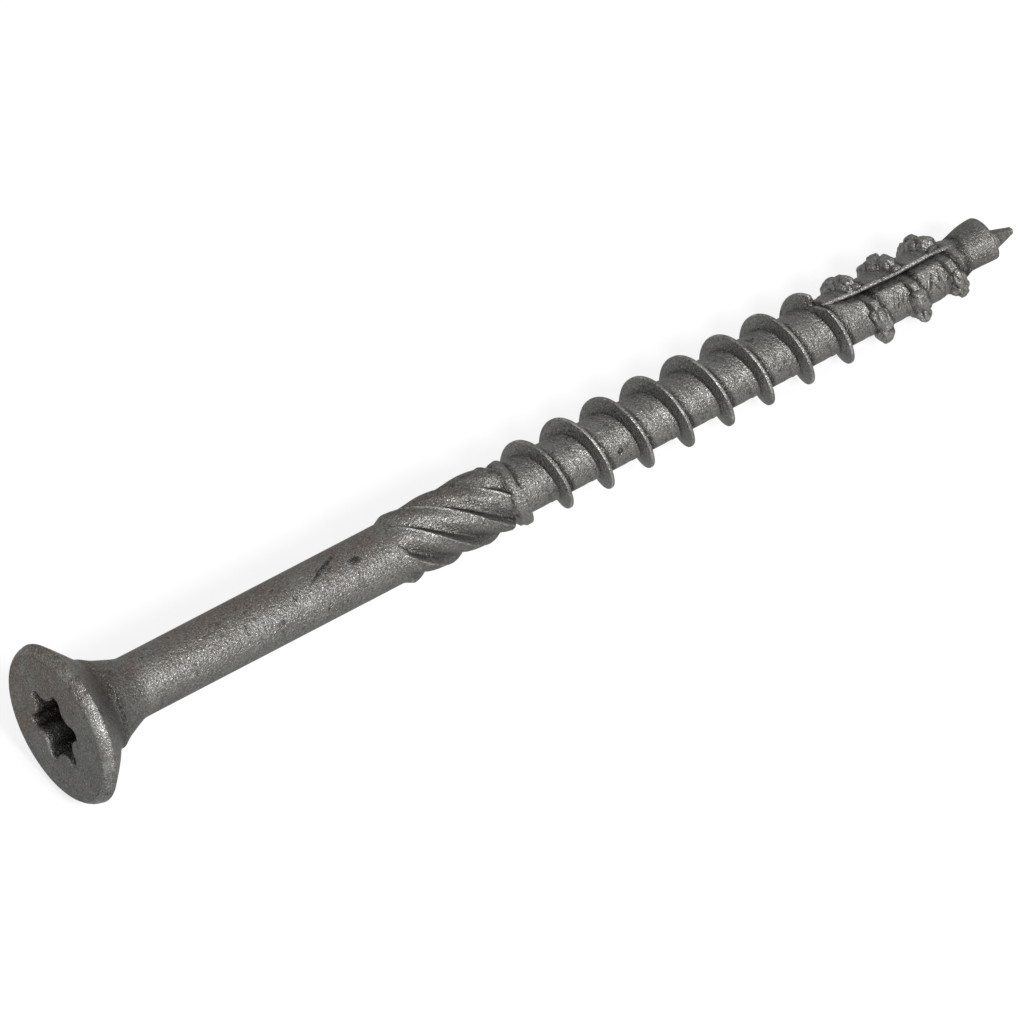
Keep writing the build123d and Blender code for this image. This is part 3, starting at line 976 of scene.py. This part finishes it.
def mark_masks(tree, place):
    """The dark, bright and height sums of all marks."""
    group = mark_group()
    dark, bright, height = 0.0, 0.0, 0.0
    for z, angle, slant, length, width, darkness, depth in MARKS:
        a, w = math.radians(angle), math.radians(slant)
        outward = math.cos(a) * UPWARD + math.sin(a) * SIDEWAYS
        beside = -math.sin(a) * UPWARD + math.cos(a) * SIDEWAYS
        radius = surface_radius(z)
        mark = node(tree, "ShaderNodeGroup", node_tree=group)
        tree.links.new(place, mark.inputs["Place"])
        mark.inputs["Centre"].default_value = 1e-3 * (z * AXIS + radius * outward)
        mark.inputs["Way"].default_value = math.cos(w) * AXIS + math.sin(w) * beside
        mark.inputs["Length"].default_value = 1e-3 * length
        mark.inputs["Width"].default_value = 1e-3 * width
        mask = mark.outputs["Mask"]
        if darkness > 0:
            dark = math_node(tree, "MAXIMUM", math_node(tree, "MULTIPLY", mask, darkness), dark)
        else:
            bright = math_node(tree, "MAXIMUM", math_node(tree, "MULTIPLY", mask, -darkness), bright)
        height = math_node(tree, "MULTIPLY_ADD", mask, -depth, height)
    return dark, bright, height


# Plain outline of the whole screw, on which the marks lie
OUTLINE_PLACES = [0.0, 0.9, 3.2, 6.0, 7.0, 28.0, 28.5, 36.6, 37.0, 73.0]
OUTLINE_RADII = [5.3, 5.85, 3.6, 2.3, 2.23, 2.23, 2.45, 2.45, 1.98, 1.98]


def surface_radius(z):
    return float(np.interp(z, OUTLINE_PLACES, OUTLINE_RADII))


def finish_colour(tree, place, finish, grain, stains):
    """Base colour of the finish, and the height of its dents."""
    highlight_and_worn_edges = node(tree, "ShaderNodeAttribute", attribute_name="wear_and_highlight").outputs["Fac"]
    shaded = node(tree, "ShaderNodeAttribute", attribute_name="shade").outputs["Fac"]
    dark_marks, bright_marks, dents = mark_masks(tree, place)
    clouds, speckle = stains.outputs["Clouds"], grain.outputs["Speckle"]

    # Brownish clouds lie on the upper side of the head and shank, partly stain and partly a painted warm
    # reflection, and the thread is a little paler
    sideways = vector_node(tree, "DOT_PRODUCT", place, (-1000.0 * SIDEWAYS).tolist())
    forward = vector_node(tree, "DOT_PRODUCT", place, (1000.0 * AXIS).tolist())
    stain_and_warm_cast = math_node(tree, "MULTIPLY", ramp(tree, sideways, -0.6, 1.4), ramp(tree, clouds, 1.0, 0.1))
    stain_and_warm_cast = math_node(tree, "MULTIPLY", stain_and_warm_cast, ramp(tree, forward, 38.0, 28.0))
    colour = mix(tree, clouds, [0.84 * c for c in finish.coating], finish.coating)
    colour = mix(tree, stain_and_warm_cast, colour, finish.warm)
    paler = math_node(tree, "MULTIPLY", ramp(tree, forward, 34.0, 42.0), 0.14)
    colour = mix(tree, paler, colour, finish.bright)

    # Stains, painted shade, marks, pores, grains, and the painted highlight with some rubbing on edges
    colour = mix(tree, math_node(tree, "MULTIPLY", stains.outputs["Spots"], 0.6), colour, finish.dark)
    # The shade attribute paints shade and shadow into the colour
    colour = mix(tree, math_node(tree, "MULTIPLY", shaded, 0.93), colour, finish.dark)
    colour = mix(tree, dark_marks, colour, finish.dark)
    colour = mix(tree, math_node(tree, "MULTIPLY", grain.outputs["Pores"], 0.6), colour, finish.dark)
    colour = mix(tree, math_node(tree, "MULTIPLY", speckle, 0.3), colour, finish.bright)
    # Painted highlight, with some real rubbing, on crests, lips, the rim, the recess's mouth and the teeth
    patchy = math_node(tree, "ADD", speckle, ramp(tree, clouds, 0.35, 1.4))
    patchy_highlight_and_rubbing = math_node(tree, "MULTIPLY", highlight_and_worn_edges, patchy, clamp=True)
    colour = mix(tree, math_node(tree, "MAXIMUM", patchy_highlight_and_rubbing, bright_marks), colour, finish.bright)
    return colour, dents


def zinc_finish(finish):
    """Dull, grainy zinc coating with marks, painted shade, and a painted highlight with some rubbing on its
    edges.
    """
    material = bpy.data.materials.new("dull_zinc")
    material.use_nodes = True
    tree = material.node_tree
    shader = tree.nodes["Principled BSDF"]
    place = node(tree, "ShaderNodeTexCoord").outputs["Object"]
    grain = node(tree, "ShaderNodeGroup", node_tree=grain_group())
    tree.links.new(place, grain.inputs["Place"])
    grain.inputs["Size"].default_value = finish.grain
    stains = node(tree, "ShaderNodeGroup", node_tree=stain_group())
    tree.links.new(place, stains.inputs["Place"])
    colour, dents = finish_colour(tree, place, finish, grain, stains)
    tree.links.new(colour, shader.inputs["Base Color"])
    shader.inputs["Metallic"].default_value = 0.9
    shader.inputs["Specular Tint"].default_value = (0.45, 0.45, 0.45, 1.0)
    glossier = math_node(tree, "MULTIPLY", grain.outputs["Speckle"], -0.08)
    tree.links.new(math_node(tree, "ADD", finish.roughness, glossier), shader.inputs["Roughness"])
    bump = node(tree, "ShaderNodeBump")
    bump.inputs["Strength"].default_value = 1.0
    bump.inputs["Distance"].default_value = 0.00007
    tree.links.new(math_node(tree, "ADD", grain.outputs["Height"], dents), bump.inputs["Height"])
    tree.links.new(bump.outputs["Normal"], shader.inputs["Normal"])
    return material


# Operators


def dressed_piece(name, shape, material):
    """A smooth piece in place of the CAD screw, with its painted highlight and rubbing, and its painted
    shade.
    """
    points, faces, marks = shape
    mesh = bpy.data.meshes.new(name)
    mesh.from_pydata(points.tolist(), [], faces)
    mesh.attributes.new("wear_and_highlight", "FLOAT", "POINT").data.foreach_set("value", marks[:, 0].astype(np.float32))
    mesh.attributes.new("shade", "FLOAT", "POINT").data.foreach_set("value", marks[:, 1].astype(np.float32))
    mesh.update()
    mesh.polygons.foreach_set("use_smooth", [True] * len(mesh.polygons))
    mesh.set_sharp_from_angle(angle=math.radians(50))
    piece = bpy.data.objects.new(name, mesh)
    bpy.context.scene.collection.objects.link(piece)
    piece.data.materials.append(material)
    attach(piece, "root")
    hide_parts("screw")


class SCREW_OT_body(bpy.types.Operator):
    """Build the screw's skin from head to point and give it its finish"""

    bl_idname = "screw.body"
    bl_label = "Screw body"

    def execute(self, context):
        scene = context.scene
        dressed_piece("screw_body", body_mesh(scene.screw_body), zinc_finish(scene.screw_finish))
        return {"FINISHED"}


class SCREW_OT_teeth(bpy.types.Operator):
    """Put the ragged teeth on the last turns, in the body's finish"""

    bl_idname = "screw.teeth"
    bl_label = "Screw teeth"

    def execute(self, context):
        material = bpy.data.materials.get("dull_zinc")
        if material is None:
            raise RuntimeError("The body, which has the finish, comes before the teeth")
        dressed_piece("screw_teeth", tooth_mesh(context.scene.screw_body), material)
        return {"FINISHED"}


class SCREW_OT_studio(bpy.types.Operator):
    """Lay the pale ground, light the screw softly and set the camera"""

    bl_idname = "screw.studio"
    bl_label = "Ground, light and camera"

    def execute(self, context):
        scene = context.scene
        studio = scene.screw_studio
        ground = ground_plane(studio)
        ground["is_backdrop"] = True
        soft_light(scene, studio)
        aim_camera(scene)
        scene.view_settings.view_transform = "Standard"
        return {"FINISHED"}


# The ground's half side, and how far it lies below the screw
GROUND_REACH = 1.5
GROUND_GAP = 1e-5

# Share of plain white that the camera and reflections see in the ground
GROUND_WHITE = 0.75


def ground_plane(studio):
    """A pale ground that keeps the screw's shadow."""
    low = float(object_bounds()[0].z) - GROUND_GAP
    corners = [(x * GROUND_REACH, y * GROUND_REACH, low) for x, y in ((-1, -1), (1, -1), (1, 1), (-1, 1))]
    mesh = bpy.data.meshes.new("ground")
    mesh.from_pydata(corners, [], [(0, 1, 2, 3)])
    ground = bpy.data.objects.new("ground", mesh)
    bpy.context.scene.collection.objects.link(ground)
    material = bpy.data.materials.new("pale_ground")
    material.use_nodes = True
    tree = material.node_tree
    shader = tree.nodes["Principled BSDF"]
    shader.inputs["Base Color"].default_value = (*studio.ground, 1.0)
    shader.inputs["Roughness"].default_value = 0.9
    shader.inputs["Specular IOR Level"].default_value = 0.1
    glow = tree.nodes.new("ShaderNodeEmission")
    path = tree.nodes.new("ShaderNodeLightPath")
    seen = math_node(tree, "MAXIMUM", path.outputs["Is Camera Ray"], path.outputs["Is Glossy Ray"])
    seen = math_node(tree, "MAXIMUM", seen, path.outputs["Is Transmission Ray"])
    swap = tree.nodes.new("ShaderNodeMixShader")
    tree.links.new(math_node(tree, "MULTIPLY", seen, GROUND_WHITE), swap.inputs[0])
    tree.links.new(shader.outputs[0], swap.inputs[1])
    tree.links.new(glow.outputs[0], swap.inputs[2])
    tree.links.new(swap.outputs[0], tree.nodes["Material Output"].inputs["Surface"])
    ground.data.materials.append(material)
    return ground


LAMP_SIZE = 0.22
LAMP_DISTANCE = 0.7
LAMP_AROUND = math.radians(15.0)


def soft_light(scene, studio):
    """Even light from all sides, and one soft lamp."""
    world = bpy.data.worlds.new("studio")
    scene.world = world
    world.use_nodes = True
    tree = world.node_tree
    tree.nodes.clear()
    out = tree.nodes.new("ShaderNodeOutputWorld")
    light = tree.nodes.new("ShaderNodeBackground")
    light.inputs["Color"].default_value = (1.0, 1.0, 1.0, 1.0)
    light.inputs["Strength"].default_value = studio.fill
    tree.links.new(light.outputs[0], out.inputs[0])

    # The lamp stands nearly straight over the side of the screw that faces the camera
    lamp = bpy.data.lights.new("key", "AREA")
    lamp.shape = "DISK"
    lamp.size = LAMP_SIZE
    lamp.energy = studio.key
    key = bpy.data.objects.new("key", lamp)
    scene.collection.objects.link(key)
    outward = math.cos(LAMP_AROUND) * UPWARD + math.sin(LAMP_AROUND) * SIDEWAYS
    toward = -0.04 * AXIS + 0.95 * outward
    centre = MIDDLE * AXIS
    place = Vector(centre + LAMP_DISTANCE * toward / np.linalg.norm(toward))
    key.location = place
    key.rotation_euler = (Vector(centre) - place).to_track_quat("-Z", "Y").to_euler()


# The camera looks down on the screw from its head's side, from far away with a long lens
CAMERA_AZIMUTH = math.radians(-35.925)
CAMERA_ELEVATION = math.radians(49.813)
CAMERA_DISTANCE = 2.8
PIXELS_PER_METRE = 14776.0
MIDDLE = 0.04
MIDDLE_PIXEL = (536.0, 477.3)


def aim_camera(scene):
    a, e = CAMERA_AZIMUTH, CAMERA_ELEVATION
    back = Vector((math.sin(a) * math.cos(e), -math.cos(a) * math.cos(e), math.sin(e)))
    right = Vector((math.cos(a), math.sin(a), 0.0))
    up = back.cross(right)
    data = bpy.data.cameras.new("camera")
    data.sensor_width = 36.0
    data.lens = 36.0 * CAMERA_DISTANCE * PIXELS_PER_METRE / 1024.0
    data.clip_start, data.clip_end = 0.1, 50.0
    camera = bpy.data.objects.new("camera", data)
    scene.collection.objects.link(camera)
    scene.camera = camera
    across, above = 512.0 - MIDDLE_PIXEL[0], MIDDLE_PIXEL[1] - 512.0
    aim = Vector(MIDDLE * AXIS) + (across * right + above * up) / PIXELS_PER_METRE
    turn = Matrix((right, up, back)).transposed().to_4x4()
    camera.matrix_world = Matrix.Translation(aim + CAMERA_DISTANCE * back) @ turn


class SCREW_PT_panel(bpy.types.Panel):
    """Lists the screw's parts, sizes and colours"""

    bl_idname = "SCREW_PT_panel"
    bl_label = "Construction screw"
    bl_space_type = "VIEW_3D"
    bl_region_type = "UI"
    bl_category = "Screw"

    def draw(self, context):
        layout = self.layout
        for group in (context.scene.screw_body, context.scene.screw_finish, context.scene.screw_studio):
            box = layout.box()
            for name in group.__annotations__:
                box.prop(group, name)
        layout.operator("screw.body")
        layout.operator("screw.teeth")
        layout.operator("screw.studio")


CLASSES = (ScrewBody, ScrewFinish, Studio, SCREW_OT_body, SCREW_OT_teeth, SCREW_OT_studio, SCREW_PT_panel)


def register():
    for item in CLASSES:
        bpy.utils.register_class(item)
    bpy.types.Scene.screw_body = bpy.props.PointerProperty(type=ScrewBody)
    bpy.types.Scene.screw_finish = bpy.props.PointerProperty(type=ScrewFinish)
    bpy.types.Scene.screw_studio = bpy.props.PointerProperty(type=Studio)


def unregister():
    del bpy.types.Scene.screw_body
    del bpy.types.Scene.screw_finish
    del bpy.types.Scene.screw_studio
    for item in reversed(CLASSES):
        bpy.utils.unregister_class(item)


def main():
    register()
    bpy.ops.screw.body()
    bpy.ops.screw.teeth()
    bpy.ops.screw.studio()


if __name__ == "__main__":
    main()
